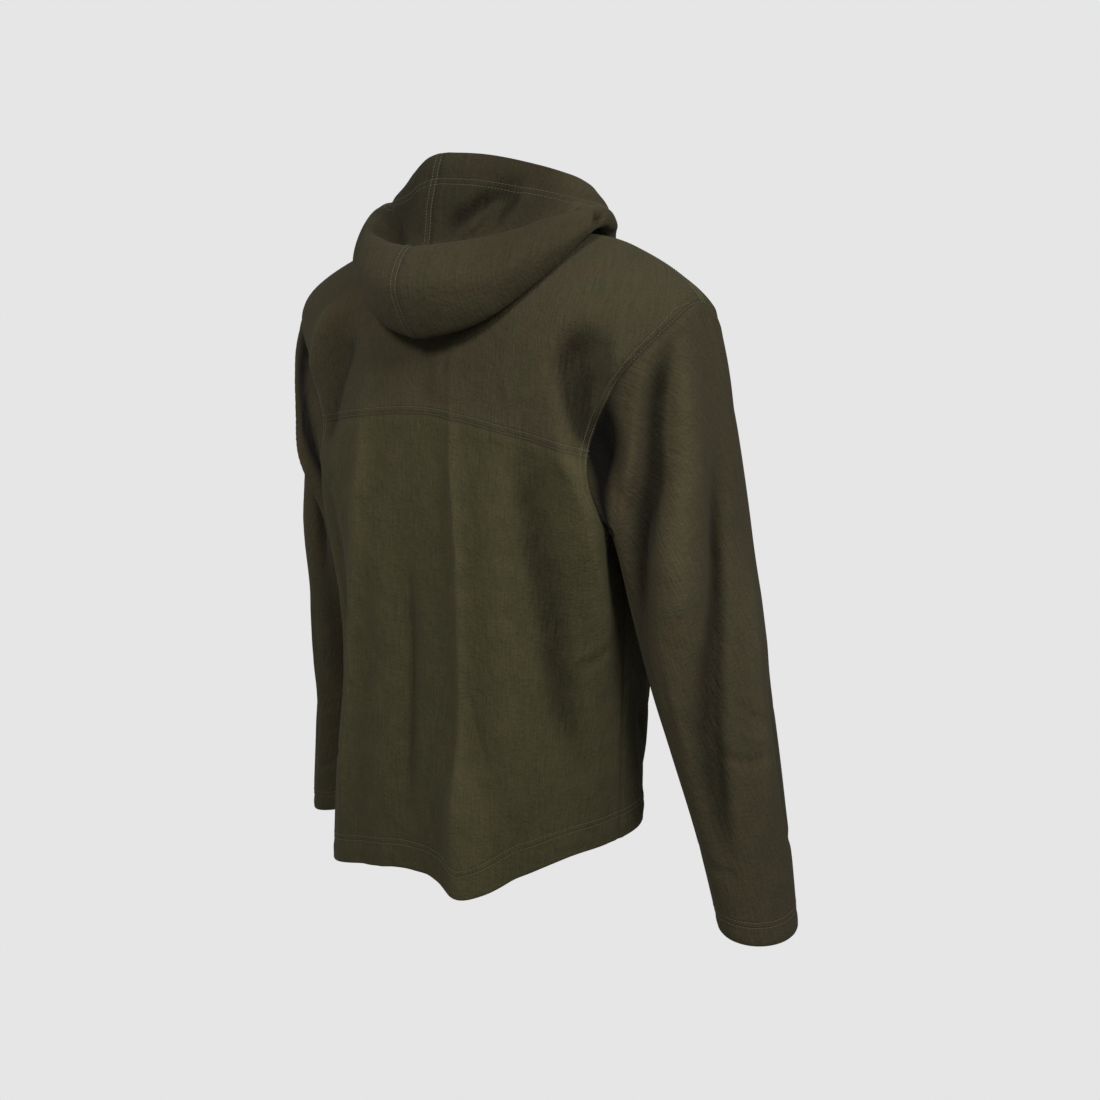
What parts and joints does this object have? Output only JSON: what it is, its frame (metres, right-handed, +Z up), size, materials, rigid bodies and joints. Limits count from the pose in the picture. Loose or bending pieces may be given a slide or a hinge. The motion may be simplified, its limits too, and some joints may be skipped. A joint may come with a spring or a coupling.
{
  "type": "fleece hoodie",
  "caption": "Pullover hoodie of fleece with a yoked back, long sleeves and a lowered hood, filled out as if worn, open at the neck, hem and cuffs.",
  "frame": {"origin": "middle of the neck opening, at the height of the shoulders, where the wearer holds the garment up", "axes": "+X to the wearer's left, +Y to the wearer's back, +Z up; the front faces -Y"},
  "size_m": [0.6809, 0.2958, 0.8126],
  "materials": {
    "fleece_green": "matt brushed fleece, green olive",
    "fleece_brown": "matt brushed fleece, brown olive"
  },
  "bodies": {
    "root": {"front_panel": "fleece_green", "back_panel": "fleece_green", "back_yoke": "fleece_brown", "sleeve_left": "fleece_brown", "sleeve_right": "fleece_brown", "hood_left": "fleece_brown", "hood_right": "fleece_brown"}
  },
  "joints": []
}
